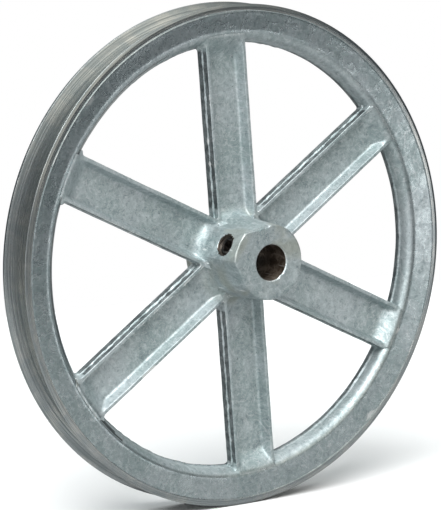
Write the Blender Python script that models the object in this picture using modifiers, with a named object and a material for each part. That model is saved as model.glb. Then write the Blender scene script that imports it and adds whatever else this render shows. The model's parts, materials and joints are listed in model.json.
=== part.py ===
"""Single-groove V-belt pulley, 7 inch outside diameter, for a half inch shaft.

The pulley is one die casting: a rim with the belt groove, six channel-section
spokes and a hub that stands out in front of the rim.  A socket set screw in the
hub clamps it to the shaft.

World frame, in metres: the shaft's axis is Y, the hub's nose points to -Y, and
the origin lies on the axis in the rim's middle plane.  Each round shape is made
about its own +Z and the whole pulley is then turned so that +Z becomes -Y.
"""

import math

import bmesh
import bpy
from mathutils import Matrix, Vector

MM = 0.001
INCH = 0.0254

# Rim and belt groove
RIM_RADIUS = 3.5 * INCH
RIM_WIDTH = 14.6 * MM
GROOVE_WIDTH = 12.8 * MM
GROOVE_DEPTH = 11.0 * MM
GROOVE_ANGLE = math.radians(38.0)
REAR_LAND = 1.2 * MM
FACE_BEVEL = 1.2 * MM
FACE_BEVEL_DROP = 0.35 * MM
CREST_RADIUS = 75.2 * MM
CREST_FRONT = 1.2 * MM
CREST_REAR = -0.7 * MM
REAR_FLARE = 6.1 * MM
RIM_STEPS = 96

# Spokes: a shallow channel, open to the front
SPOKE_COUNT = 6
SPOKE_TURN = math.radians(95.0)
SPOKE_FRONT = 6.2 * MM
SPOKE_BACK = 0.4 * MM
SPOKE_PARTING = 3.5 * MM
SPOKE_WIDTH = 16.6 * MM
SPOKE_DRAFT = 0.15 * MM
RIB_EDGE = 1.1 * MM
RIB_ROOT = 2.4 * MM
WEB_THICKNESS = 2.0 * MM
SPOKE_START = 8.0 * MM
SPOKE_REACH = 77.3 * MM

# Hub, bore and set screw pad
HUB_NOSE_RADIUS = 13.1 * MM
HUB_DRAFT = math.radians(3.5)
HUB_FRONT = 24.45 * MM
HUB_BACK = 7.3 * MM
HUB_FILLET = 3.0 * MM
BORE_RADIUS = 0.25 * INCH
BORE_BREAK = 0.35 * MM
PAD_RADIUS = 15.6 * MM
PAD_HALF_ANGLE = math.radians(20.0)
PAD_TANGENT_ANGLE = math.radians(62.0)
PAD_STEPS = 8
PAD_SINK = 0.3 * MM
HUB_STEPS = 48

# Set screw, 5/16-18 by 5/16 inch, with a cup point and a hexagon socket; plain where it is threaded
SCREW_TURN = SPOKE_TURN + math.tau / SPOKE_COUNT
SCREW_HEIGHT = 16.6 * MM
SCREW_RADIUS = 3.65 * MM
SCREW_LENGTH = 0.3125 * INCH
SCREW_TIP = 6.65 * MM
SCREW_CHAMFER = 0.6 * MM
SCREW_GAP = 0.3 * MM
SCREW_STEPS = 24
CUP_RADIUS = 1.6 * MM
CUP_DEPTH = 0.6 * MM
SOCKET_ACROSS = 0.15625 * INCH
SOCKET_DEPTH = 3.4 * MM

OVERSHOOT = 1.0 * MM
MERGE = 0.00001
SMOOTH_ANGLE = math.radians(35.0)

ZINC_COLOUR = (0.46, 0.50, 0.50, 1.0)
BLACK_OXIDE_COLOUR = (0.025, 0.024, 0.023, 1.0)


def clear_scene():
    for item in list(bpy.data.objects):
        bpy.data.objects.remove(item, do_unlink=True)


def new_collection(name):
    collection = bpy.data.collections.new(name)
    bpy.context.scene.collection.children.link(collection)
    return collection


def add_object(name, mesh, collection):
    item = bpy.data.objects.new(name, mesh)
    collection.objects.link(item)
    return item


def principled(name, colour, roughness, metallic):
    material = bpy.data.materials.new(name)
    material.use_nodes = True
    shader = material.node_tree.nodes["Principled BSDF"]
    shader.inputs["Base Color"].default_value = colour
    shader.inputs["Roughness"].default_value = roughness
    shader.inputs["Metallic"].default_value = metallic
    return material


def turned(name, profile, steps, collection):
    """A shape turned about Z from (radius, z) points that run down its outer side."""
    mesh = bpy.data.meshes.new(name)
    points = [(radius, 0.0, height) for radius, height in profile]
    edges = [(i, i + 1) for i in range(len(points) - 1)]
    mesh.from_pydata(points, edges, [])
    item = add_object(name, mesh, collection)
    screw = item.modifiers.new("Turn", "SCREW")
    screw.axis = "Z"
    screw.steps = steps
    screw.render_steps = steps
    screw.use_merge_vertices = True
    screw.merge_threshold = MERGE
    return item


def prism(name, outline, length, collection):
    """A flat outline in XY, extruded evenly to both sides of Z = 0."""
    curve = bpy.data.curves.new(name, "CURVE")
    curve.dimensions = "2D"
    curve.fill_mode = "BOTH"
    curve.extrude = length / 2.0
    spline = curve.splines.new("POLY")
    spline.points.add(len(outline) - 1)
    for point, (x, y) in zip(spline.points, outline):
        point.co = (x, y, 0.0, 1.0)
    spline.use_cyclic_u = True
    drawn = add_object(name + "_outline", curve, collection)
    bpy.context.view_layer.update()
    evaluated = drawn.evaluated_get(bpy.context.evaluated_depsgraph_get())
    mesh = bpy.data.meshes.new_from_object(evaluated)
    mesh.name = name
    bpy.data.objects.remove(drawn, do_unlink=True)
    weld(mesh)
    return add_object(name, mesh, collection)


def weld(mesh):
    shape = bmesh.new()
    shape.from_mesh(mesh)
    bmesh.ops.remove_doubles(shape, verts=shape.verts, dist=MERGE)
    bmesh.ops.recalc_face_normals(shape, faces=shape.faces)
    shape.to_mesh(mesh)
    shape.free()


def combine(target, tool, operation):
    modifier = target.modifiers.new(tool.name, "BOOLEAN")
    modifier.operation = operation
    modifier.solver = "EXACT"
    modifier.object = tool


def hide_tool(item):
    item.hide_render = True
    item.display_type = "WIRE"


def groove_profile():
    """The belt groove's four corners, from the front lip to the rear one."""
    half_root = GROOVE_WIDTH / 2.0 - GROOVE_DEPTH * math.tan(GROOVE_ANGLE / 2.0)
    rear_lip = -RIM_WIDTH / 2.0 + REAR_LAND
    middle = rear_lip + GROOVE_WIDTH / 2.0
    root_radius = RIM_RADIUS - GROOVE_DEPTH
    return [
        (RIM_RADIUS, middle + GROOVE_WIDTH / 2.0),
        (root_radius, middle + half_root),
        (root_radius, middle - half_root),
        (RIM_RADIUS, rear_lip),
    ]


def rim_front_inner():
    """The rim's inner side in front, from the crest out to the flat face."""
    face = RIM_WIDTH / 2.0
    return [
        (CREST_RADIUS, CREST_FRONT),
        (CREST_RADIUS + 0.5 * MM, CREST_FRONT + 1.0 * MM),
        (CREST_RADIUS + 1.5 * MM, face - 1.9 * MM),
        (CREST_RADIUS + 2.2 * MM, face - 0.7 * MM),
        (CREST_RADIUS + 3.8 * MM, face),
    ]


def rim_rear_inner():
    """The rim's inner side behind, which flares from the rear face in to the crest."""
    face = RIM_WIDTH / 2.0
    return [(CREST_RADIUS + REAR_FLARE, -face), (CREST_RADIUS, CREST_REAR)]


def make_rim(collection):
    face = RIM_WIDTH / 2.0
    outer = [(RIM_RADIUS - FACE_BEVEL, face), (RIM_RADIUS, face - FACE_BEVEL_DROP)]
    outer += groove_profile()
    outer += [(RIM_RADIUS, -face)]
    profile = outer + rim_rear_inner() + rim_front_inner()
    profile.append(profile[0])
    return turned("pulley_casting", profile, RIM_STEPS, collection)


def spoke_section():
    """The channel's outline: X runs across the spoke, Y towards the front."""
    half = SPOKE_WIDTH / 2.0
    web_front = SPOKE_BACK + WEB_THICKNESS
    right = [
        (half, SPOKE_BACK),
        (half + SPOKE_DRAFT, SPOKE_PARTING),
        (half, SPOKE_FRONT),
        (half - RIB_EDGE, SPOKE_FRONT),
        (half - RIB_ROOT, web_front),
    ]
    left = [(-x, y) for x, y in reversed(right)]
    return right + left


def make_spoke(index, collection):
    length = SPOKE_REACH - SPOKE_START
    spoke = prism("spoke_%d" % (index + 1), spoke_section(), length, collection)
    turn = SPOKE_TURN + index * math.tau / SPOKE_COUNT
    # The outline's X runs across the spoke, its Y forwards and its length outwards.
    stand = Matrix(((0, 0, 1, 0), (1, 0, 0, 0), (0, 1, 0, 0), (0, 0, 0, 1)))
    outwards = Matrix.Translation(Vector((SPOKE_START + length / 2.0, 0, 0)))
    spoke.data.transform(Matrix.Rotation(turn, 4, "Z") @ outwards @ stand)
    weld(spoke.data)
    hide_tool(spoke)
    return spoke


def make_hub(collection):
    base = HUB_NOSE_RADIUS + (HUB_FRONT - SPOKE_BACK) * math.tan(HUB_DRAFT)
    web_front = SPOKE_BACK + WEB_THICKNESS
    at_fillet = base - HUB_FILLET * math.tan(HUB_DRAFT)
    profile = [
        (0.0, HUB_FRONT),
        (HUB_NOSE_RADIUS, HUB_FRONT),
        (at_fillet, web_front + HUB_FILLET),
        (at_fillet + 0.3 * HUB_FILLET, web_front + 0.3 * HUB_FILLET),
        (at_fillet + HUB_FILLET, web_front),
        (at_fillet + HUB_FILLET, SPOKE_BACK),
        (base, SPOKE_BACK),
        (HUB_NOSE_RADIUS, -HUB_BACK),
        (0.0, -HUB_BACK),
    ]
    hub = turned("hub", profile, HUB_STEPS, collection)
    hide_tool(hub)
    return hub


def make_pad(collection):
    """The thickened side of the hub that the set screw runs through."""
    arc = []
    for step in range(PAD_STEPS + 1):
        angle = PAD_HALF_ANGLE * (2.0 * step / PAD_STEPS - 1.0)
        arc.append((PAD_RADIUS * math.cos(angle), PAD_RADIUS * math.sin(angle)))
    foot = HUB_NOSE_RADIUS - PAD_SINK
    side = (foot * math.cos(PAD_TANGENT_ANGLE), foot * math.sin(PAD_TANGENT_ANGLE))
    outline = [(side[0], -side[1])] + arc + [side, (0.0, 0.0)]
    length = HUB_FRONT - SPOKE_BACK - WEB_THICKNESS / 2.0
    pad = prism("screw_pad", outline, length, collection)
    lift = Matrix.Translation(Vector((0, 0, HUB_FRONT - length / 2.0)))
    pad.data.transform(Matrix.Rotation(SCREW_TURN, 4, "Z") @ lift)
    hide_tool(pad)
    return pad


def make_bore(collection):
    """A cutter for the bore, opened slightly at both mouths."""
    mouth = BORE_RADIUS + BORE_BREAK + OVERSHOOT
    profile = [
        (0.0, HUB_FRONT + OVERSHOOT),
        (mouth, HUB_FRONT + OVERSHOOT),
        (BORE_RADIUS, HUB_FRONT - BORE_BREAK),
        (BORE_RADIUS, -HUB_BACK + BORE_BREAK),
        (mouth, -HUB_BACK - OVERSHOOT),
        (0.0, -HUB_BACK - OVERSHOOT),
    ]
    bore = turned("bore_cutter", profile, HUB_STEPS, collection)
    hide_tool(bore)
    return bore


def place_on_screw_axis(item):
    """Lay a shape made about +Z along the set screw's axis, pointing outwards."""
    lean = Matrix.Rotation(math.pi / 2.0, 4, "Y")
    height = Matrix.Translation(Vector((0, 0, SCREW_HEIGHT)))
    item.matrix_world = height @ Matrix.Rotation(SCREW_TURN, 4, "Z") @ lean


def make_screw_hole(collection):
    """A cutter for the tapped hole, from inside the bore out through the pad."""
    radius = SCREW_RADIUS + SCREW_GAP
    rim = PAD_RADIUS - SCREW_CHAMFER
    profile = [
        (0.0, PAD_RADIUS + OVERSHOOT),
        (radius + SCREW_CHAMFER + OVERSHOOT, PAD_RADIUS + OVERSHOOT),
        (radius, rim),
        (radius, BORE_RADIUS / 2.0),
        (0.0, BORE_RADIUS / 2.0),
    ]
    hole = turned("screw_hole_cutter", profile, SCREW_STEPS, collection)
    place_on_screw_axis(hole)
    hide_tool(hole)
    return hole


def make_socket(collection):
    """A cutter for the hexagon socket in the set screw's outer end."""
    corner = SOCKET_ACROSS / math.sqrt(3.0)
    outline = [
        (corner * math.cos(side * math.tau / 6), corner * math.sin(side * math.tau / 6))
        for side in range(6)
    ]
    socket = prism("socket_cutter", outline, 2.0 * SOCKET_DEPTH, collection)
    socket.data.transform(Matrix.Translation(Vector((0, 0, SCREW_TIP + SCREW_LENGTH))))
    place_on_screw_axis(socket)
    hide_tool(socket)
    return socket


def make_set_screw(parts, cutters):
    end = SCREW_TIP + SCREW_LENGTH
    profile = [
        (0.0, end),
        (SCREW_RADIUS - SCREW_CHAMFER, end),
        (SCREW_RADIUS, end - SCREW_CHAMFER),
        (SCREW_RADIUS, SCREW_TIP + SCREW_CHAMFER),
        (SCREW_RADIUS - 2.0 * SCREW_CHAMFER, SCREW_TIP),
        (CUP_RADIUS, SCREW_TIP),
        (0.0, SCREW_TIP + CUP_DEPTH),
    ]
    screw = turned("set_screw", profile, SCREW_STEPS, parts)
    place_on_screw_axis(screw)
    combine(screw, make_socket(cutters), "DIFFERENCE")
    screw.data.materials.append(principled("black_oxide_steel", BLACK_OXIDE_COLOUR, 0.45, 0.9))
    return screw


def make_casting(parts, cutters):
    casting = make_rim(parts)
    for index in range(SPOKE_COUNT):
        combine(casting, make_spoke(index, cutters), "UNION")
    combine(casting, make_hub(cutters), "UNION")
    combine(casting, make_pad(cutters), "UNION")
    combine(casting, make_bore(cutters), "DIFFERENCE")
    combine(casting, make_screw_hole(cutters), "DIFFERENCE")
    casting.data.materials.append(principled("cast_zinc", ZINC_COLOUR, 0.5, 0.85))
    return casting


def shade_round(item):
    item.data.shade_smooth()
    item.data.set_sharp_from_angle(angle=SMOOTH_ANGLE)


def main():
    clear_scene()
    parts = new_collection("v_belt_pulley")
    cutters = new_collection("cutters")
    shaft_axis = bpy.data.objects.new("shaft_axis", None)
    parts.objects.link(shaft_axis)
    casting = make_casting(parts, cutters)
    screw = make_set_screw(parts, cutters)
    for item in list(parts.objects) + list(cutters.objects):
        if item is not shaft_axis:
            item.parent = shaft_axis
    shade_round(casting)
    shade_round(screw)
    shaft_axis.rotation_euler = (math.pi / 2.0, 0.0, 0.0)


main()
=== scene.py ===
import json
import math

import bmesh
import bpy
from mathutils import Matrix, Vector, noise


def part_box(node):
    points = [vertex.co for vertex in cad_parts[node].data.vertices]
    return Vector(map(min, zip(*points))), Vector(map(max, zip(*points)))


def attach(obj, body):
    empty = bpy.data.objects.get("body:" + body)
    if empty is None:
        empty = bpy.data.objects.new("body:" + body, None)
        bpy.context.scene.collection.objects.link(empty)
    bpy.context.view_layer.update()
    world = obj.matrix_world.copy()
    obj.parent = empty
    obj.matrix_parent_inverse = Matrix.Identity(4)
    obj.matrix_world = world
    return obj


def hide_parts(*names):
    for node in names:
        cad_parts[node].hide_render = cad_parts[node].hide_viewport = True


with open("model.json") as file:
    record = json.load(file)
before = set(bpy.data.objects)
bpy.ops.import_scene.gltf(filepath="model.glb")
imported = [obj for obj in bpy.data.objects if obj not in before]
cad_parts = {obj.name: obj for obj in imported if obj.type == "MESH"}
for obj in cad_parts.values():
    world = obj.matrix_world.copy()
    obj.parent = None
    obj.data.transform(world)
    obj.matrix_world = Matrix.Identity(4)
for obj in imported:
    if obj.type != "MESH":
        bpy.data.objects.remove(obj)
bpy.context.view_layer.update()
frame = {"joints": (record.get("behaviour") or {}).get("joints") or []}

# The pulley is modelled lying on its back: its axis is Z, its front faces up and the
# angles run the way a viewer in front of it sees them.  TO_WORLD stands it up, so that
# the front faces -Y, as in the frame.

MM = 0.001
TO_WORLD = Matrix.Rotation(math.radians(90.0), 4, "X")

# Unseeded, the noise vectors would be others on each run.
NOISE_SEED = 5
noise.seed_set(NOISE_SEED)

casting_low, casting_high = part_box("pulley_casting")
screw_low, screw_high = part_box("set_screw")
screw_axis = frame["joints"][0]["axis"]

# Rim
RIM_RADIUS = casting_high.x - 0.01 * MM
FACE = casting_high.y
RIM_STEPS = 360
GROOVE_WIDTH = 12.8 * MM
GROOVE_DEPTH = 11.0 * MM
GROOVE_ANGLE = math.radians(38.0)
REAR_LAND = 1.2 * MM
RIM_SPACING = 1.1 * MM
CREST_RADIUS = 75.2 * MM
CREST_FRONT = 1.2 * MM
CREST_REAR = -0.7 * MM
REAR_FLARE = 6.1 * MM
WALL_FOOT = (75.6 * MM, 1.9 * MM)
WALL_HEAD = (76.15 * MM, FACE)
WALL_ROUND = 4.0 * MM
WINDOW_SHIFT = 1.15 * MM
WINDOW_TURN = math.radians(171.0)
SHIFT_FADE = 4.0 * MM
LAND_RADIUS = 86.5 * MM
LAND_NOTCH = 0.3 * MM
FACE_SINK = 0.05 * MM
FACE_WAVE = 0.6
BEVEL_WIDTH = 1.2 * MM
BEVEL_DROP = 0.35 * MM

# Spokes
SPOKE_COUNT = 6
SPOKE_TURN = math.radians(95.0)
SPOKE_HALF = 8.3 * MM
SPOKE_FRONT = 6.2 * MM
SPOKE_PARTING = 3.6 * MM
SPOKE_WEB = 2.4 * MM
SPOKE_BACK = 0.4 * MM
SPOKE_START = 9.0 * MM
SPOKE_STEPS = 110
SECTION_SPACING = 0.75 * MM
RIB_FOOT = 5.9 * MM
RIB_HEAD = 7.1 * MM
RIM_SINK = 0.8 * MM
RAMP_FOOT = 70.3 * MM
RAMP_OVERLAP = 1.3 * MM
RAMP_DROP = 0.12 * MM
WEB_FILLET = 4.4 * MM
RIB_FILLET = 1.6 * MM
BACK_FILLET = 2.5 * MM
RIM_FILLET = 1.5 * MM
CROTCH_FILLET = 0.5 * MM

# Hub and bore
NOSE = -casting_low.y
HUB_RADIUS = 13.1 * MM
HUB_DRAFT = math.tan(math.radians(3.5))
HUB_REAR_TAPER = 0.02
HUB_STEPS = 360
NOSE_INSET = 0.38 * MM
NOSE_DIP = 0.02 * MM
# Where the nose's edge is torn, as (angle in degrees, share)
TORN_EDGE = [(90.0, 0.0), (97.0, 1.0), (131.0, 1.0), (137.0, 0.0), (360.0, 0.0)]
TORN_DEPTH = 0.8 * MM
NICK_DEPTH = 0.105 * MM
BORE_RADIUS = 6.35 * MM
BORE_EDGE = 0.4 * MM
BORE_STEPS = 144
BURR_TURN = math.radians(-51.0)
BURR_HALF = math.radians(9.0)
BURR_DEPTH = 0.45 * MM
PAD_RADIUS = 15.6 * MM
PAD_DRAFT_SHARE = 0.25
PAD_HALF = math.radians(20.0)
PAD_END = math.radians(62.0)

# Set screw, 5/16-18
SCREW_TURN = math.atan2(-screw_axis[2], -screw_axis[0])
SCREW_HEIGHT = -(screw_low.y + screw_high.y) / 2.0
SCREW_LENGTH = 7.94 * MM
SCREW_TIP = 6.65 * MM
THREAD_PITCH = 25.4 * MM / 18.0
THREAD_MAJOR = 3.88 * MM
THREAD_MINOR = 3.22 * MM
THREAD_CLEARANCE = 0.12 * MM
THREAD_STEPS = 60
SOCKET_ACROSS = 3.97 * MM
SOCKET_DEPTH = 3.4 * MM
COUNTERSINK = 0.08 * MM

# Unevenness of a cast surface, and the flash and pits along its edges
SWELL_LENGTH = 9.0 * MM
SWELL_HEIGHT = 0.075 * MM
RIPPLE_LENGTH = 2.6 * MM
RIPPLE_HEIGHT = 0.03 * MM
CREST_FLASH = 0.08 * MM
CREST_FLASH_RISE = 0.3 * MM
SIDE_FLASH = 0.26 * MM
SIDE_PIT = 0.3 * MM

# Colours
ZINC_SHADE = (0.33, 0.40, 0.405)
ZINC_LIGHT = (0.43, 0.485, 0.50)
ZINC_BLOOM = (0.56, 0.63, 0.635)
ZINC_BLOT = (0.20, 0.25, 0.26)
ZINC_FLECK = (0.62, 0.68, 0.69)
ZINC_PORE = (0.19, 0.235, 0.25)
ZINC_FLOW = (0.62, 0.65, 0.66)
ZINC_SPECK = (0.06, 0.072, 0.078)
# The next two: convex edges lightened for wear and as a painted highlight, recesses darkened as painted
# shade
ZINC_RUBBED_HIGHLIGHT = (0.78, 0.80, 0.79)
ZINC_RECESS_SHADE = (0.09, 0.11, 0.115)
OILED = (0.36, 0.37, 0.29)
# Painted shade on the spokes' sides and along the rim's inner crest
PAINTED_SIDE_SHADE = (0.055, 0.066, 0.07)
TURNED_COOL = (0.40, 0.435, 0.44)
TURNED_WARM = (0.54, 0.55, 0.53)
TURNED_GROOVE = (0.15, 0.175, 0.185)
# Painted sheen on turned surfaces
TURNED_SHEEN = (0.72, 0.71, 0.66)
# Painted shade and painted reflection in the bore
BORE_SHADE = (0.07, 0.05, 0.035)
BORE_REFLECTION_BROWN = (0.24, 0.20, 0.16)
BORE_SCORE = (0.45, 0.42, 0.40)
# Painted shade inside the tapped hole
TAPPED_HOLE_SHADE = (0.02, 0.018, 0.016)
OXIDE_BLACK = (0.018, 0.016, 0.015)
OXIDE_BROWN = (0.075, 0.062, 0.055)
FLOOR_PALE = (0.86, 0.86, 0.86)
FLOOR_WHITE = (0.88, 0.88, 0.88)
FLOOR_BOUNCE = (0.4, 0.4, 0.4)

# Camera
CAMERA_AZIMUTH = math.radians(-35.11)
CAMERA_ELEVATION = math.radians(7.90)
CAMERA_DISTANCE = 0.9211
CAMERA_TARGET = Vector((-3.76, 0.97, 0.11)) * MM
CAMERA_LENS = 184.27

# Studio: the world's patches are (azimuth, elevation, width in degrees, colour)
FLOOR_SIZE = 0.8
FLOOR_GAP = 0.05 * MM
WORLD_BASE = (0.04, 0.052, 0.062)
WORLD_PATCHES = [
    (160.0, 75.0, 62.0, (0.85, 0.9, 0.9)),
    (150.0, 32.0, 36.0, (0.6, 0.6, 0.58)),
    (-100.0, -10.0, 36.0, (0.5, 0.5, 0.49)),
    (12.0, 30.0, 30.0, (1.35, 1.32, 1.2)),
    (-28.0, 12.0, 28.0, (0.85, 0.83, 0.84)),
]


# Outlines and meshes

def rounded(corners, arc_step=math.radians(14.0)):
    """Points along a closed outline whose corners, (x, y, radius), are rounded."""
    outline = []
    for index, (x, y, radius) in enumerate(corners):
        corner = Vector((x, y))
        if radius == 0.0:
            outline.append(corner)
            continue
        inward = corner - Vector(corners[index - 1][:2])
        outward = Vector(corners[(index + 1) % len(corners)][:2]) - corner
        turn = inward.angle(outward)
        longest = 0.49 * min(inward.length, outward.length)
        reach = min(radius * math.tan(turn / 2.0), longest)
        start = corner - inward.normalized() * reach
        end = corner + outward.normalized() * reach
        steps = max(2, math.ceil(turn / arc_step))
        for step in range(steps + 1):
            u = step / steps
            outline.append(start * (1.0 - u) ** 2 + corner * (2.0 * u * (1.0 - u)) + end * u ** 2)
    return outline


def refined(outline, spacing):
    """The closed outline with points added where two of them are far apart."""
    result = []
    for index, point in enumerate(outline):
        following = outline[(index + 1) % len(outline)]
        pieces = max(1, math.ceil((following - point).length / spacing))
        for piece in range(pieces):
            result.append(point.lerp(following, piece / pieces))
    return result


def tidy_mesh(mesh):
    """Triangulates the end caps and points every face outwards."""
    shape = bmesh.new()
    shape.from_mesh(mesh)
    caps = [face for face in shape.faces if len(face.verts) > 4]
    bmesh.ops.triangulate(shape, faces=caps)
    bmesh.ops.recalc_face_normals(shape, faces=shape.faces)
    shape.to_mesh(mesh)
    shape.free()


def lofted(name, rings, closed=False):
    """A closed mesh through rings of points, which are capped or meet again."""
    count = len(rings[0])
    points = [point for ring in rings for point in ring]
    faces = []
    for index in range(len(rings) if closed else len(rings) - 1):
        here = index * count
        there = (index + 1) % len(rings) * count
        for side in range(count):
            beside = (side + 1) % count
            faces.append((here + side, here + beside, there + beside, there + side))
    if not closed:
        faces.append(tuple(reversed(range(count))))
        faces.append(tuple(range(len(points) - count, len(points))))
    mesh = bpy.data.meshes.new(name)
    mesh.from_pydata(points, [], faces)
    tidy_mesh(mesh)
    piece = bpy.data.objects.new(name, mesh)
    bpy.context.scene.collection.objects.link(piece)
    return piece


def unit(value):
    """The value kept between 0 and 1."""
    return min(1.0, max(0.0, value))


def polar(radius, angle, height):
    """A point in the modelling frame."""
    return Vector((radius * math.cos(angle), radius * math.sin(angle), height))


def interpolate(value, table):
    """Linear interpolation in a list of (value, result) pairs in rising order."""
    for (low, first), (high, last) in zip(table, table[1:]):
        if value <= high:
            share = max(0.0, (value - low) / (high - low))
            return first + (last - first) * share
    return table[-1][1]


def ridge(distance, half_width):
    """1 at distance 0, falling smoothly to 0 at half_width on either side."""
    share = max(0.0, 1.0 - (distance / half_width) ** 2)
    return share * share


def fillet(distance, radius):
    """How far a concave corner of this radius rises at a distance from its wall."""
    run = radius - min(max(distance, 0.0), radius)
    return radius - math.sqrt(radius * radius - run * run)


def cast_wave(point, amount=1.0):
    """The slight unevenness of a surface left as it was cast."""
    swell = noise.noise_vector(point / SWELL_LENGTH) * SWELL_HEIGHT
    ripple = noise.noise_vector(point / RIPPLE_LENGTH) * RIPPLE_HEIGHT
    return (swell + ripple) * amount


def raggedness(point, grain):
    """A value from 0 to 1 that jumps along an edge the way casting flash does."""
    coarse = noise.noise(point / (grain * 4.0))
    fine = noise.noise(point / grain + Vector((7.0, 3.0, 5.0)))
    return unit(0.3 + 0.9 * coarse + 0.8 * fine)


# Rim

def wall_arc(steps=8):
    """The rounding, (radius, height), from the inner side's wall out to the flat face."""
    slope = math.atan2(WALL_HEAD[1] - WALL_FOOT[1], WALL_HEAD[0] - WALL_FOOT[0])
    flat_start = WALL_HEAD[0] + WALL_ROUND * math.tan(slope / 2.0)
    tilts = [slope * (1.0 - step / steps) for step in range(steps + 1)]
    return [(flat_start - WALL_ROUND * math.sin(tilt), FACE - WALL_ROUND * (1.0 - math.cos(tilt)))
            for tilt in tilts]


def rim_wall(height):
    """The radius of the rim's inner side at a height from its middle plane."""
    if height < CREST_REAR:
        return CREST_RADIUS + REAR_FLARE * (CREST_REAR - height) / (CREST_REAR + FACE)
    table = [(CREST_FRONT, CREST_RADIUS), WALL_FOOT[::-1]]
    return interpolate(height, table + [(level, radius) for radius, level in wall_arc()])


def window_shift(height, angle):
    """The front die's half of the inner side stands off centre, so the rim is uneven."""
    share = unit((height - CREST_FRONT) / (SPOKE_FRONT - CREST_FRONT))
    return WINDOW_SHIFT * share * math.cos(angle - WINDOW_TURN)


def rim_outline():
    """The rim's section, (radius, height): inner side, front face, groove and rear."""
    half_root = GROOVE_WIDTH / 2.0 - GROOVE_DEPTH * math.tan(GROOVE_ANGLE / 2.0)
    rear_lip = REAR_LAND - FACE
    middle = rear_lip + GROOVE_WIDTH / 2.0
    root = RIM_RADIUS - GROOVE_DEPTH
    return rounded([
        (CREST_RADIUS, CREST_FRONT, 0.2 * MM),
        (*WALL_FOOT, 0.3 * MM),
        *[(radius, height, 0.0) for radius, height in wall_arc()],
        (LAND_RADIUS - 2.0 * LAND_NOTCH, FACE, 0.15 * MM),
        (LAND_RADIUS - LAND_NOTCH, FACE - 0.5 * LAND_NOTCH, 0.15 * MM),
        (LAND_RADIUS, FACE, 0.15 * MM),
        (RIM_RADIUS - BEVEL_WIDTH, FACE - 0.02 * MM, 0.3 * MM),
        (RIM_RADIUS, FACE - BEVEL_DROP, 0.15 * MM),
        (root + 0.35 * MM, middle + half_root + 0.1 * MM, 0.3 * MM),
        (root, middle + half_root - 0.3 * MM, 0.3 * MM),
        (root, middle - half_root, 0.7 * MM),
        (RIM_RADIUS, rear_lip, 0.12 * MM),
        (RIM_RADIUS, -FACE, 0.3 * MM),
        (CREST_RADIUS + REAR_FLARE, -FACE, 0.7 * MM),
        (CREST_RADIUS, CREST_REAR, 0.2 * MM),
    ], math.radians(7.0))


def make_rim():
    """Turned outside; its faces and inner side are uneven, with flash along the crest."""
    wavy_end = LAND_RADIUS - 0.7 * MM
    shift_end = LAND_RADIUS - 2.0 * MM
    crest_end = CREST_RADIUS + 0.4 * MM
    rings = []
    for radius, height in refined(rim_outline(), RIM_SPACING):
        on_face = abs(height) > FACE - 0.02 * MM and radius < wavy_end
        as_cast = on_face or radius < rim_wall(height) + 0.3 * MM
        on_crest = ridge(height - CREST_FRONT, 0.45 * MM) if radius < crest_end else 0.0
        spread = unit((shift_end - radius) / SHIFT_FADE) if as_cast else 0.0
        ring = []
        for step in range(RIM_STEPS):
            angle = math.tau * step / RIM_STEPS
            point = polar(radius, angle, height)
            flash = CREST_FLASH + CREST_FLASH_RISE * raggedness(point, 0.9 * MM)
            reach = radius - flash * on_crest + window_shift(height, angle) * spread
            moved = polar(reach, angle, height)
            if as_cast:
                moved += cast_wave(point, FACE_WAVE if on_face else 1.0)
            if on_face:
                moved.z -= math.copysign(FACE_SINK, height)
            moved.z = math.copysign(min(abs(moved.z), FACE), moved.z)
            ring.append(moved)
        rings.append(ring)
    return lofted("rim", rings, closed=True)


# Hub

def pad_radius(angle, round_radius, pad):
    """The hub's outline: a circle with the set screw's pad, whose flanks are flat."""
    turn = abs((angle - SCREW_TURN + math.pi) % math.tau - math.pi)
    if turn <= PAD_HALF:
        return pad
    if turn >= PAD_END:
        return round_radius
    chord = round_radius * pad * math.sin(PAD_END - PAD_HALF)
    chord /= pad * math.sin(turn - PAD_HALF) + round_radius * math.sin(PAD_END - turn)
    return max(round_radius, chord)


def hub_radius(angle, height):
    """The hub's outline at a height, with its draft; the pad starts at the webs' front."""
    widening = HUB_DRAFT * (NOSE - max(height, 0.0))
    round_radius = HUB_RADIUS + widening
    if height < 0.0:
        return round_radius + HUB_REAR_TAPER * height
    if height < SPOKE_WEB:
        return round_radius
    return pad_radius(angle, round_radius, PAD_RADIUS + PAD_DRAFT_SHARE * widening)


def hub_rows():
    """(inset, height, inset where the edge is torn, height there) from the rear up."""
    rows = [(0.7 * MM, -FACE), (0.2 * MM, -FACE + 0.15 * MM), (0.0, -FACE + 0.5 * MM)]
    rows += [(0.0, height * MM) for height in (-5.5, -4.0, -2.5, -1.0, 0.0, 1.2, 2.3)]
    first = 2.45 * MM
    last = NOSE - 0.75 * MM
    count = 18
    rows += [(0.0, first + (last - first) * step / count) for step in range(count + 1)]
    rows = [(inset, height, inset, height) for inset, height in rows]
    rows.append((0.0, NOSE - 0.45 * MM, 0.0, NOSE - 0.9 * MM))
    rows.append((0.08 * MM, NOSE - 0.25 * MM, 0.2 * MM, NOSE - 0.6 * MM))
    rows.append((0.2 * MM, NOSE - 0.08 * MM, 0.9 * MM, NOSE - 0.45 * MM))
    rows.append((NOSE_INSET, NOSE, 1.0 * MM, NOSE))
    return rows


def nose_ring(share):
    """A ring of the nose's face, from its edge at share 0 in to the bore at share 1."""
    ring = []
    for step in range(HUB_STEPS):
        angle = math.tau * step / HUB_STEPS
        edge = hub_radius(angle, NOSE) - NOSE_INSET - TORN_DEPTH * torn_share(angle)
        radius = edge + (BORE_RADIUS + 0.2 * MM - edge) * share
        point = polar(radius, angle, NOSE)
        point.z -= NOSE_DIP * (1.0 + noise.noise(point / (2.5 * MM)))
        ring.append(point)
    return ring


def torn_share(angle):
    """1 where the nose's edge is torn, over the pad's upper flank, and 0 elsewhere."""
    turn = math.degrees(angle) % 360.0
    return interpolate(turn, TORN_EDGE)


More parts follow.
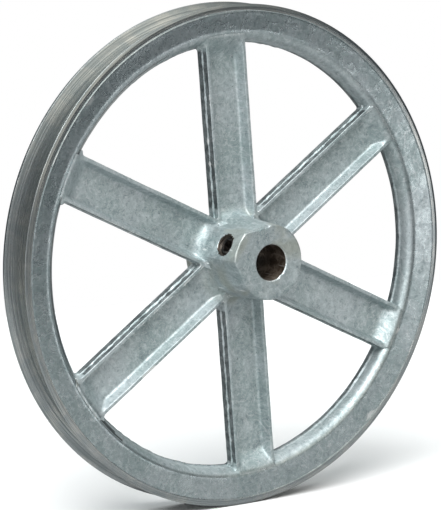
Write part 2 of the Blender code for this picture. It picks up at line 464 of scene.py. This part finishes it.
def make_hub():
    """The hub with its pad, from the rear face up and in over the nose."""
    rings = []
    for inset, height, torn_inset, torn_height in hub_rows():
        ring = []
        for step in range(HUB_STEPS):
            angle = math.tau * step / HUB_STEPS
            torn = torn_share(angle)
            edge = polar(HUB_RADIUS, angle, 0.0)
            tear = 0.35 + 1.1 * raggedness(edge, 0.8 * MM)
            nick = NICK_DEPTH * raggedness(edge * 1.7, 1.1 * MM) * min(1.0, inset / (0.1 * MM))
            here_inset = inset + nick + (torn_inset * tear - inset) * torn
            here_height = height + (torn_height - height) * torn
            radius = hub_radius(angle, here_height) - here_inset
            point = polar(radius, angle, here_height)
            if abs(here_height - NOSE) > 0.1 * MM and here_height > 0.5 * MM - FACE:
                point += cast_wave(point, 0.8)
                point.z = min(point.z, NOSE)
            ring.append(point)
        rings.append(ring)
    rings += [nose_ring(share) for share in (0.2, 0.4, 0.6, 0.8, 1.0)]
    return lofted("hub", rings)


# Spokes

def half_section():
    """Half of a spoke's section, (across, height), from the web round to the back."""
    front_side = SPOKE_HALF + 0.1 * MM
    outline = rounded([
        (0.0, SPOKE_WEB, 0.0),
        (RIB_FOOT, SPOKE_WEB, 1.3 * MM),
        (RIB_HEAD, SPOKE_FRONT, 0.4 * MM),
        (SPOKE_HALF, SPOKE_FRONT, 0.3 * MM),
        (front_side, SPOKE_PARTING + 0.3 * MM, 0.0),
        (front_side, SPOKE_PARTING, 0.0),
        (SPOKE_HALF + 0.22 * MM, SPOKE_PARTING - 0.15 * MM, 0.0),
        (SPOKE_HALF + 0.05 * MM, SPOKE_BACK, 0.35 * MM),
        (0.0, SPOKE_BACK, 0.0),
    ])
    return [point for point in refined(outline, SECTION_SPACING) if point.x > 0.0]


def full_section():
    """The whole section: both halves, and the middles of the web and the back."""
    half = half_section()
    mirrored = [Vector((-point.x, point.y)) for point in reversed(half)]
    return [Vector((0.0, SPOKE_WEB))] + half + [Vector((0.0, SPOKE_BACK))] + mirrored


def web_height(radius, angle):
    """The web's front, which ramps up to the rim's face between the ribs."""
    head = rim_wall(SPOKE_FRONT) + window_shift(SPOKE_FRONT, angle) + RAMP_OVERLAP
    share = unit((radius - RAMP_FOOT) / (head - RAMP_FOOT))
    return SPOKE_WEB + (FACE - RAMP_DROP - SPOKE_WEB) * share * share * (3.0 - 2.0 * share)


def spoke_height(along, across, level, web_side, turn):
    """The height of a section point where the spoke runs into the hub and the rim."""
    radius = math.hypot(along, across)
    angle = turn + math.atan2(across, along)
    hub_gap = radius - hub_radius(angle, SPOKE_FRONT)
    top = SPOKE_FRONT + fillet(hub_gap, RIB_FILLET)
    back = SPOKE_BACK - fillet(hub_gap, BACK_FILLET) - fillet(CREST_RADIUS - radius, RIM_FILLET)
    if not web_side:
        share = (level - SPOKE_BACK) / (SPOKE_FRONT - SPOKE_BACK)
        return back + share * (top - back)
    web = web_height(radius, angle) + fillet(hub_gap, WEB_FILLET)
    share = (level - SPOKE_WEB) / (SPOKE_FRONT - SPOKE_WEB)
    return web + share * (max(top, web) - web)


def side_flare(along, across, height):
    """How far a spoke's side curves outwards into the rim and towards its neighbour."""
    rim_gap = rim_wall(height) - math.hypot(along, across)
    crotch = SPOKE_HALF / math.tan(math.pi / SPOKE_COUNT)
    crotch_gap = along - crotch - CROTCH_FILLET * 0.73
    return fillet(rim_gap, RIM_FILLET) + fillet(crotch_gap, CROTCH_FILLET)


def sunk_length(across, level, web_side, turn):
    """How far out a section point runs before it ends inside the rim's metal."""
    angle = turn + math.atan2(across, CREST_RADIUS)
    sunk = rim_wall(level) + window_shift(level, angle) + RIM_SINK
    if web_side:
        head = rim_wall(SPOKE_FRONT) + window_shift(SPOKE_FRONT, angle) + RAMP_OVERLAP
        sunk = max(sunk, head)
    return math.sqrt(sunk * sunk - across * across)


def make_spoke(number):
    """A web between two ribs, with flash and pits along its sides."""
    turn = SPOKE_TURN + math.tau * number / SPOKE_COUNT
    section = full_section()
    rib_middle = (RIB_HEAD + SPOKE_HALF) / 2.0
    web_middle = (SPOKE_WEB + SPOKE_BACK) / 2.0
    rings = []
    for step in range(SPOKE_STEPS + 1):
        ring = []
        for across, level in section:
            side = math.copysign(1.0, across)
            web_side = abs(across) < rib_middle and level > web_middle
            end = sunk_length(across, level, web_side, turn)
            along = SPOKE_START + (end - SPOKE_START) * step / SPOKE_STEPS
            height = spoke_height(along, across, level, web_side, turn)
            place = Vector((along, across, 40.0 * MM * number))
            outer = unit((abs(across) - RIB_HEAD) / (SPOKE_HALF - RIB_HEAD))
            flash = ridge(level - SPOKE_PARTING + 0.1 * MM, 0.4 * MM) * raggedness(place, 1.0 * MM)
            pit = ridge(level - SPOKE_PARTING - 0.35 * MM, 0.4 * MM) * raggedness(place * 0.8, 1.4 * MM)
            wide = across + side * outer * side_flare(along, across, height)
            if abs(across) > SPOKE_HALF - 0.01 * MM:
                wide += side * (SIDE_FLASH * flash - SIDE_PIT * pit)
            point = polar(along, turn, height) + polar(wide, turn + math.pi / 2.0, 0.0)
            ring.append(point + cast_wave(point))
        rings.append(ring)
    return lofted(f"spoke_{number + 1}", rings)


# Cutters: the bore and the tapped hole

def make_bore_cutter():
    """The bore with its broken edges, and a burr left standing on the front one."""
    beyond = 1.1 * MM
    flared = BORE_RADIUS + 1.5 * MM
    rear = -FACE + BORE_EDGE
    front = NOSE - BORE_EDGE
    rows = [(flared, -FACE - beyond), (BORE_RADIUS, rear)]
    rows += [(BORE_RADIUS, rear + (front - rear) * step / 8) for step in range(1, 8)]
    rows += [(BORE_RADIUS, front), (BORE_RADIUS + BORE_EDGE, NOSE), (flared, NOSE + beyond)]
    rings = []
    for radius, height in rows:
        near_edge = ridge(height - NOSE + 0.1 * MM, 0.6 * MM)
        ring = []
        for step in range(BORE_STEPS):
            angle = math.tau * step / BORE_STEPS
            turn = (angle - BURR_TURN + math.pi) % math.tau - math.pi
            burr = ridge(turn, BURR_HALF) * near_edge
            ring.append(polar(radius - BURR_DEPTH * burr, angle, height))
        rings.append(ring)
    return lofted("bore_cutter", rings)


def thread_radius(turn, along, minor, major):
    """The radius of a right-hand thread whose helix starts on the pulley's axis."""
    phase = (along / THREAD_PITCH - turn / math.tau) % 1.0
    rise = 1.0 - abs(2.0 * phase - 1.0)
    share = unit((rise - 0.15) / 0.7)
    return minor + (major - minor) * share


def thread_rows(start, end):
    """Places along the screw's axis, ten to a turn of the thread."""
    count = math.ceil((end - start) / THREAD_PITCH * 10.0)
    return [start + (end - start) * step / count for step in range(count + 1)]


def stand_on_screw_axis(piece):
    """Turns a piece made along Z to lie on the set screw's axis."""
    lie = Matrix.Rotation(math.radians(90.0), 4, "Y")
    turn = Matrix.Rotation(SCREW_TURN, 4, "Z")
    piece.data.transform(Matrix.Translation((0.0, 0.0, SCREW_HEIGHT)) @ turn @ lie)


def make_tap():
    """What the tap and the countersink take out of the pad."""
    major = THREAD_MAJOR + THREAD_CLEARANCE
    minor = THREAD_MINOR + THREAD_CLEARANCE
    surface = PAD_RADIUS + 0.1 * MM
    rings = []
    for along in thread_rows(4.5 * MM, 18.0 * MM):
        sink = major + COUNTERSINK + (along - surface)
        ring = []
        for step in range(THREAD_STEPS):
            turn = math.tau * step / THREAD_STEPS
            radius = max(thread_radius(turn, along, minor, major), sink)
            ring.append(polar(radius, turn, along))
        rings.append(ring)
    cutter = lofted("tap", rings)
    stand_on_screw_axis(cutter)
    return cutter


def hexagon_radius(turn, across):
    """The outline of a hexagon from its width across the flats."""
    return across / 2.0 / math.cos(turn % (math.pi / 3.0) - math.pi / 6.0)


def make_set_screw():
    """A socket set screw with a cup point; every ring has the same number of points."""
    outer = SCREW_TIP + SCREW_LENGTH
    bottom = outer - SOCKET_DEPTH
    chamfer = THREAD_MINOR - 0.35 * MM
    rings = [(SCREW_TIP + 0.6 * MM, lambda turn: 0.15 * MM), (SCREW_TIP, lambda turn: 1.6 * MM)]
    for along in thread_rows(SCREW_TIP, outer):
        limit = chamfer + min(along - SCREW_TIP, outer - along)
        rings.append((along, lambda turn, along=along, limit=limit: min(
            limit, thread_radius(turn, along, THREAD_MINOR, THREAD_MAJOR))))
    rings.append((outer, lambda turn: 2.5 * MM))
    rings.append((outer - 0.18 * MM, lambda turn: hexagon_radius(turn, SOCKET_ACROSS)))
    rings.append((bottom, lambda turn: hexagon_radius(turn, SOCKET_ACROSS)))
    rings.append((bottom - 0.7 * MM, lambda turn: 0.15 * MM))
    points = []
    for along, radius in rings:
        turns = [math.tau * step / THREAD_STEPS for step in range(THREAD_STEPS)]
        points.append([polar(radius(turn), turn, along) for turn in turns])
    screw = lofted("set_screw_5_16", points)
    stand_on_screw_axis(screw)
    screw.data.transform(TO_WORLD)
    return screw


# Casting: everything joined, then bored and tapped

def combined(target, tools, operation):
    """Applies a Boolean with each tool in turn and removes the tools."""
    for tool in tools:
        modifier = target.modifiers.new("Boolean", "BOOLEAN")
        modifier.operation = operation
        modifier.solver = "MANIFOLD"
        modifier.object = tool
        graph = bpy.context.evaluated_depsgraph_get()
        mesh = bpy.data.meshes.new_from_object(target.evaluated_get(graph))
        target.modifiers.clear()
        target.data = mesh
        bpy.data.objects.remove(tool, do_unlink=True)


def smooth_shaded(piece, degrees):
    """Shades the piece smooth, but for edges that turn by more than this angle."""
    piece.data.shade_smooth()
    piece.data.set_sharp_from_angle(angle=math.radians(degrees))


def make_casting():
    """Rim, spokes and hub as one closed mesh, stood up in the frame."""
    casting = make_rim()
    spokes = [make_spoke(number) for number in range(SPOKE_COUNT)]
    combined(casting, spokes + [make_hub()], "UNION")
    combined(casting, [make_bore_cutter(), make_tap()], "DIFFERENCE")
    casting.name = "cast_pulley"
    casting.data.name = "cast_pulley"
    casting.data.transform(TO_WORLD)
    smooth_shaded(casting, 32.0)
    return casting


# Materials

def node(tree, kind, inputs=None, **settings):
    """Adds a node; an input is given a value or the output socket that feeds it."""
    item = tree.nodes.new(kind)
    for key, value in settings.items():
        setattr(item, key, value)
    for key, value in (inputs or {}).items():
        if isinstance(value, bpy.types.NodeSocket):
            tree.links.new(value, item.inputs[key])
        else:
            item.inputs[key].default_value = value
    return item


def calculate(tree, operation, first, second=0.0, third=0.0):
    """A Math node's result."""
    inputs = {0: first, 1: second, 2: third}
    return node(tree, "ShaderNodeMath", inputs, operation=operation).outputs[0]


def ramp(tree, value, low, high, start=0.0, end=1.0):
    """Maps value smoothly from low..high to start..end, clamped."""
    inputs = {"Value": value, "From Min": low, "From Max": high, "To Min": start, "To Max": end}
    item = node(tree, "ShaderNodeMapRange", inputs, interpolation_type="SMOOTHSTEP")
    return item.outputs["Result"]


def blend(tree, share, first, second):
    """The first colour where share is 0, the second where it is 1."""
    item = node(tree, "ShaderNodeMix", {"Factor": share}, data_type="RGBA")
    for key, value in (("A", first), ("B", second)):
        socket = next(i for i in item.inputs if i.name == key and i.type == "RGBA")
        if isinstance(value, bpy.types.NodeSocket):
            tree.links.new(value, socket)
        else:
            socket.default_value = (*value, 1.0)
    return next(o for o in item.outputs if o.type == "RGBA")


def speckle(tree, place, size, detail=4.0, roughness=0.6, distortion=0.0):
    """Fractal noise with features of about this size in metres."""
    inputs = {"Vector": place, "Scale": 1.0 / size, "Detail": detail, "Roughness": roughness,
              "Distortion": distortion}
    return node(tree, "ShaderNodeTexNoise", inputs).outputs["Fac"]


def bumped(tree, height, depth):
    """A normal tilted by this height, 0 to 1, over a depth in metres."""
    inputs = {"Height": height, "Distance": depth, "Strength": 1.0}
    return node(tree, "ShaderNodeBump", inputs).outputs["Normal"]


def new_material(name, metallic):
    """A material with an empty tree: its shader and its place on the object in metres."""
    material = bpy.data.materials.new(name)
    material.use_nodes = True
    tree = material.node_tree
    shader = tree.nodes["Principled BSDF"]
    shader.inputs["Metallic"].default_value = metallic
    place = node(tree, "ShaderNodeTexCoord").outputs["Object"]
    return material, tree, shader, place


def feed(tree, shader, **sockets):
    """Links sockets to the shader's inputs, which are named with _ for a space."""
    for key, socket in sockets.items():
        tree.links.new(socket, shader.inputs[key.replace("_", " ")])


def cylinder_parts(tree, place):
    """Distance from the pulley's axis, and height in front of its middle plane."""
    parts = node(tree, "ShaderNodeSeparateXYZ", {0: place}).outputs
    across = calculate(tree, "MULTIPLY", parts["X"], parts["X"])
    radius = calculate(tree, "SQRT", calculate(tree, "MULTIPLY_ADD", parts["Z"], parts["Z"], across))
    height = calculate(tree, "MULTIPLY", parts["Y"], -1.0)
    return radius, height


def turn_around(tree, place):
    """The angle around the pulley's axis."""
    parts = node(tree, "ShaderNodeSeparateXYZ", {0: place}).outputs
    return calculate(tree, "ARCTAN2", parts["Z"], parts["X"])


def within(tree, value, centre, half_width, softness):
    """1 where value is inside a band, falling to 0 over softness outside it."""
    gap = calculate(tree, "ABSOLUTE", calculate(tree, "SUBTRACT", value, centre))
    return ramp(tree, gap, half_width, half_width + softness, 1.0, 0.0)


def blend_value(tree, share, first, second):
    """The first value where share is 0, the second where it is 1."""
    gap = calculate(tree, "SUBTRACT", second, first)
    return calculate(tree, "MULTIPLY_ADD", gap, share, first)


def cast_zinc():
    """Die cast zinc: mottled blue-grey, duller where it was never rubbed, with painted shade and
    painted highlights.
    """
    material, tree, shader, place = new_material("cast_zinc", 0.9)
    radius, height = cylinder_parts(tree, place)
    cloud = speckle(tree, place, 26 * MM, 3.0, 0.55, 0.6)
    mottle = speckle(tree, place, 4.2 * MM, 6.0, 0.68, 0.9)
    fine = speckle(tree, place, 1.5 * MM, 4.0, 0.7, 0.4)
    grain = speckle(tree, place, 0.9 * MM, 3.0, 0.7)
    stretched = node(tree, "ShaderNodeMapping", {"Vector": place, "Scale": (1.0, 0.3, 1.0)}).outputs[0]
    flow = speckle(tree, stretched, 7.0 * MM, 2.0, 0.4, 4.5)
    colour = blend(tree, ramp(tree, cloud, 0.36, 0.64), ZINC_SHADE, ZINC_LIGHT)
    colour = blend(tree, ramp(tree, mottle, 0.50, 0.70, 0.0, 0.75), colour, ZINC_BLOOM)
    colour = blend(tree, ramp(tree, mottle, 0.30, 0.46, 0.6, 0.0), colour, ZINC_BLOT)
    colour = blend(tree, ramp(tree, fine, 0.52, 0.66, 0.0, 0.45), colour, ZINC_FLECK)
    colour = blend(tree, ramp(tree, fine, 0.34, 0.47, 0.5, 0.0), colour, ZINC_PORE)
    marks = within(tree, flow, 0.5, 0.008, 0.022)
    colour = blend(tree, calculate(tree, "MULTIPLY", marks, 0.5), colour, ZINC_FLOW)
    specks = ramp(tree, grain, 0.66, 0.74, 0.0, 0.85)
    colour = blend(tree, specks, colour, ZINC_SPECK)

    near_hub = ramp(tree, radius, 15.0 * MM, 19.0 * MM, 1.0, 0.0)
    oiled = calculate(tree, "MULTIPLY", near_hub, ramp(tree, cloud, 0.50, 0.62, 0.0, 0.5))
    colour = blend(tree, oiled, colour, OILED)

    # Painted shade: the spokes' sides, which face across the axis, and the rim's inner crest are
    # darkened.
    normal = node(tree, "ShaderNodeTexCoord").outputs["Normal"]
    facing = node(tree, "ShaderNodeSeparateXYZ", {0: normal}).outputs["Y"]
    upright = ramp(tree, calculate(tree, "ABSOLUTE", facing), 0.13, 0.24, 1.0, 0.0)
    along_side = within(tree, radius, 47.0 * MM, 26.5 * MM, 0.8 * MM)
    crest = calculate(tree, "MULTIPLY", within(tree, height, 0.3 * MM, 0.8 * MM, 0.5 * MM),
                      within(tree, radius, CREST_RADIUS, 0.5 * MM, 0.4 * MM))
    shaded = calculate(tree, "MAXIMUM", calculate(tree, "MULTIPLY", upright, along_side), crest)
    side_shade = calculate(tree, "MULTIPLY", shaded, ramp(tree, mottle, 0.36, 0.64, 0.9, 0.55))
    colour = blend(tree, side_shade, colour, PAINTED_SIDE_SHADE)

    level = calculate(tree, "ABSOLUTE", height)
    on_end = ramp(tree, level, NOSE - 0.15 * MM, NOSE - 0.05 * MM)
    # Convex edges are lightened for wear and as a painted highlight; recesses are darkened as painted
    # shade.
    pointed = node(tree, "ShaderNodeNewGeometry").outputs["Pointiness"]
    pointed = blend_value(tree, on_end, pointed, 0.5)
    colour = blend(tree, ramp(tree, pointed, 0.52, 0.60, 0.0, 0.75), colour, ZINC_RUBBED_HIGHLIGHT)
    colour = blend(tree, ramp(tree, pointed, 0.40, 0.48, 0.8, 0.0), colour, ZINC_RECESS_SHADE)

    on_rim = ramp(tree, radius, 72.0 * MM, 76.0 * MM)
    faced = calculate(tree, "MULTIPLY", on_rim, ramp(tree, level, FACE - 0.9 * MM, FACE - 0.1 * MM))
    faced = calculate(tree, "MULTIPLY_ADD", on_end, 0.35, faced)
    dull = ramp(tree, mottle, 0.30, 0.70, 0.58, 0.48)
    rough = calculate(tree, "MULTIPLY_ADD", faced, -0.24, dull)
    metal = ramp(tree, faced, 0.0, 1.0, 0.72, 0.97)
    coarse = calculate(tree, "MULTIPLY_ADD", mottle, 0.7, calculate(tree, "MULTIPLY", grain, 0.2))
    relief = calculate(tree, "MULTIPLY_ADD", fine, 0.25, coarse)
    uneven = bumped(tree, relief, ramp(tree, faced, 0.0, 1.0, 0.2 * MM, 0.1 * MM))
    feed(tree, shader, Base_Color=colour, Roughness=rough, Metallic=metal, Normal=uneven)
    return material


def turned_zinc():
    """Zinc turned on a lathe: brighter, with fine rings around the axis."""
    material, tree, shader, place = new_material("turned_zinc", 0.95)
    radius, height = cylinder_parts(tree, place)
    parts = node(tree, "ShaderNodeSeparateXYZ", {0: place}).outputs
    wander = calculate(tree, "MULTIPLY_ADD", parts["X"], 0.012, radius)
    drift = calculate(tree, "MULTIPLY", parts["Z"], 0.012)
    around = node(tree, "ShaderNodeCombineXYZ", {0: wander, 1: height, 2: drift}).outputs[0]
    rings = speckle(tree, around, 0.55 * MM, 3.0, 0.75)
    broad = speckle(tree, around, 3.5 * MM, 2.0, 0.5)
    blotches = speckle(tree, place, 9.0 * MM, 4.0, 0.6, 0.5)
    colour = blend(tree, ramp(tree, blotches, 0.38, 0.66), TURNED_COOL, TURNED_WARM)
    colour = blend(tree, ramp(tree, rings, 0.36, 0.62, 0.7, 0.0), colour, TURNED_GROOVE)
    # Painted sheen: broad bands along the rings are lightened to a cream colour.
    colour = blend(tree, ramp(tree, broad, 0.52, 0.66, 0.0, 0.7), colour, TURNED_SHEEN)
    rough = ramp(tree, rings, 0.3, 0.7, 0.34, 0.2)
    normal = bumped(tree, rings, 0.05 * MM)
    shader.inputs["Anisotropic"].default_value = 0.5
    tangent = node(tree, "ShaderNodeTangent", direction_type="RADIAL", axis="Y").outputs[0]
    feed(tree, shader, Base_Color=colour, Roughness=rough, Normal=normal, Tangent=tangent)
    return material


def bore_skin():
    """The bore: dark brown as painted shade and painted reflection, with scores along the axis."""
    material, tree, shader, place = new_material("bore_skin", 0.7)
    radius, height = cylinder_parts(tree, place)
    around = calculate(tree, "MULTIPLY", turn_around(tree, place), 6.0 * MM)
    along = calculate(tree, "MULTIPLY", height, 0.06)
    scores_place = node(tree, "ShaderNodeCombineXYZ", {0: around, 1: along}).outputs[0]
    scores = speckle(tree, scores_place, 0.8 * MM, 3.0, 0.7)
    # Painted shade and painted reflection: the bore is mottled from near black to brown.
    blotches = speckle(tree, place, 3.5 * MM, 4.0, 0.65, 0.6)
    colour = blend(tree, ramp(tree, blotches, 0.38, 0.64), BORE_SHADE, BORE_REFLECTION_BROWN)
    colour = blend(tree, ramp(tree, scores, 0.58, 0.70, 0.0, 0.7), colour, BORE_SCORE)
    # Painted shade: faces further from the bore's axis, in the tapped hole, are darkened.
    tapped = ramp(tree, radius, BORE_RADIUS + 0.3 * MM, BORE_RADIUS + 1.0 * MM, 0.0, 0.75)
    colour = blend(tree, tapped, colour, TAPPED_HOLE_SHADE)
    rough = ramp(tree, scores, 0.3, 0.7, 0.5, 0.3)
    feed(tree, shader, Base_Color=colour, Roughness=rough, Normal=bumped(tree, scores, 0.06 * MM))
    return material


def black_oxide():
    """Black oxide on steel: nearly black, with brown patches."""
    material, tree, shader, place = new_material("black_oxide", 0.8)
    cloud = speckle(tree, place, 1.6 * MM, 4.0, 0.6)
    grain = speckle(tree, place, 0.3 * MM, 2.0, 0.6)
    colour = blend(tree, ramp(tree, cloud, 0.4, 0.65), OXIDE_BLACK, OXIDE_BROWN)
    rough = ramp(tree, grain, 0.3, 0.7, 0.28, 0.5)
    feed(tree, shader, Base_Color=colour, Roughness=rough, Normal=bumped(tree, grain, 0.02 * MM))
    return material


def floor_paint():
    """The pale floor: matt, with the faintest unevenness."""
    material, tree, shader, place = new_material("floor_paint", 0.0)
    patch = speckle(tree, place, 150 * MM, 2.0, 0.5)
    colour = blend(tree, patch, FLOOR_PALE, FLOOR_WHITE)
    seen = node(tree, "ShaderNodeLightPath").outputs["Is Camera Ray"]
    colour = blend(tree, seen, FLOOR_BOUNCE, colour)
    shader.inputs["Roughness"].default_value = 0.9
    shader.inputs["Specular IOR Level"].default_value = 0.0
    feed(tree, shader, Base_Color=colour)
    return material


# The casting's material slots
CAST, TURNED, BORED = range(3)


def in_tapped_hole(centre):
    """Whether a point of the casting, in the frame's axes, is in the set screw's hole."""
    along = centre.x * math.cos(SCREW_TURN) + centre.z * math.sin(SCREW_TURN)
    beside = centre.z * math.cos(SCREW_TURN) - centre.x * math.sin(SCREW_TURN)
    gap = math.hypot(beside, centre.y + SCREW_HEIGHT)
    return along > 0.0 and gap < THREAD_MAJOR + THREAD_CLEARANCE + 0.04 * MM


def finish_of(radius, height, tilt):
    """Which material a face of the casting has, from where it lies and how it is tilted."""
    if radius < BORE_RADIUS + 0.1 * MM and abs(tilt) < 0.5:
        return BORED
    in_groove = radius > max(rim_wall(height) + 0.6 * MM, 77.5 * MM) and abs(height) < FACE - 0.6 * MM
    if radius > LAND_RADIUS - 0.1 * MM or in_groove:
        return TURNED
    return CAST


def paint_casting(casting):
    """Gives each face of the casting its finish."""
    casting.data.materials.clear()
    for material in (cast_zinc(), turned_zinc(), bore_skin()):
        casting.data.materials.append(material)
    for face in casting.data.polygons:
        centre = face.center
        radius = math.hypot(centre.x, centre.z)
        face.material_index = finish_of(radius, -centre.y, face.normal.y)
        # The tapped hole's faces take the bore's finish, which paints shade there.
        if radius < PAD_RADIUS + 1.0 * MM and in_tapped_hole(centre):
            face.material_index = BORED


# Studio

def compass(azimuth, elevation):
    """A direction in degrees: 0 is the front, 90 the pulley's right, as seen from there."""
    side = math.radians(azimuth)
    rise = math.radians(elevation)
    return Vector((math.sin(side) * math.cos(rise), -math.cos(side) * math.cos(rise), math.sin(rise)))


def soft_sun(name, azimuth, elevation, width, strength):
    """A light as wide as a softbox and so far away that it lights the floor evenly."""
    data = bpy.data.lights.new(name, "SUN")
    data.energy = strength
    data.angle = math.radians(width)
    sun = bpy.data.objects.new(name, data)
    bpy.context.scene.collection.objects.link(sun)
    sun.rotation_euler = compass(azimuth, elevation).to_track_quat("Z", "Y").to_euler()


def panel(name, azimuth, elevation, distance, size, power):
    """A square area light that faces the pulley's middle."""
    data = bpy.data.lights.new(name, "AREA")
    data.shape = "SQUARE"
    data.size = size
    data.energy = power
    light = bpy.data.objects.new(name, data)
    bpy.context.scene.collection.objects.link(light)
    away = compass(azimuth, elevation)
    light.location = away * distance
    light.rotation_euler = away.to_track_quat("Z", "Y").to_euler()
    light.visible_camera = False


def add_floor():
    """The floor, just clear of the pulley's lowest point."""
    bpy.ops.mesh.primitive_plane_add(size=FLOOR_SIZE, location=(0.0, 0.0, casting_low.z - FLOOR_GAP))
    floor = bpy.context.object
    floor.name = "floor"
    floor.data.materials.append(floor_paint())


def add_world():
    """White to look at; what it sheds on the object are a few broad soft patches."""
    world = bpy.data.worlds.new("studio")
    world.use_nodes = True
    tree = world.node_tree
    place = node(tree, "ShaderNodeTexCoord").outputs["Generated"]
    glow = WORLD_BASE
    for azimuth, elevation, width, colour in WORLD_PATCHES:
        facing = node(tree, "ShaderNodeVectorMath", {0: place, 1: compass(azimuth, elevation)},
                      operation="DOT_PRODUCT").outputs["Value"]
        share = ramp(tree, facing, math.cos(math.radians(width)), 1.0)
        spread = node(tree, "ShaderNodeCombineXYZ", {0: share, 1: share, 2: share}).outputs[0]
        glow = node(tree, "ShaderNodeVectorMath", {0: spread, 1: colour, 2: glow},
                    operation="MULTIPLY_ADD").outputs[0]
    seen = node(tree, "ShaderNodeLightPath").outputs["Is Camera Ray"]
    tree.links.new(blend(tree, seen, glow, (1.0, 1.0, 1.0)), tree.nodes["Background"].inputs["Color"])
    bpy.context.scene.world = world


def add_camera():
    """A long lens, a little above the axis and to the pulley's left."""
    back = Vector((
        math.sin(CAMERA_AZIMUTH) * math.cos(CAMERA_ELEVATION),
        -math.cos(CAMERA_AZIMUTH) * math.cos(CAMERA_ELEVATION),
        math.sin(CAMERA_ELEVATION),
    ))
    data = bpy.data.cameras.new("camera")
    data.lens = CAMERA_LENS
    data.clip_start = 0.05
    data.clip_end = 10.0
    camera = bpy.data.objects.new("camera", data)
    bpy.context.scene.collection.objects.link(camera)
    camera.location = CAMERA_TARGET + back * CAMERA_DISTANCE
    camera.rotation_euler = back.to_track_quat("Z", "Y").to_euler()
    bpy.context.scene.camera = camera


add_camera()
casting = make_casting()
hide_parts("pulley_casting")
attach(casting, "pulley")
screw = make_set_screw()
smooth_shaded(screw, 40.0)
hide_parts("set_screw")
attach(screw, "set_screw")
paint_casting(casting)
screw.data.materials.append(black_oxide())

add_floor()
add_world()
soft_sun("key", azimuth=-40.0, elevation=50.0, width=45.0, strength=3.4)
panel("right_panel", azimuth=46.5, elevation=-8.5, distance=0.55, size=0.2, power=0.22)
panel("upper_left_panel", azimuth=-62.0, elevation=30.0, distance=0.4, size=0.2, power=0.3)
panel("left_panel", azimuth=-62.0, elevation=-6.0, distance=0.3, size=0.12, power=0.1)
bpy.context.scene.view_settings.view_transform = "Standard"
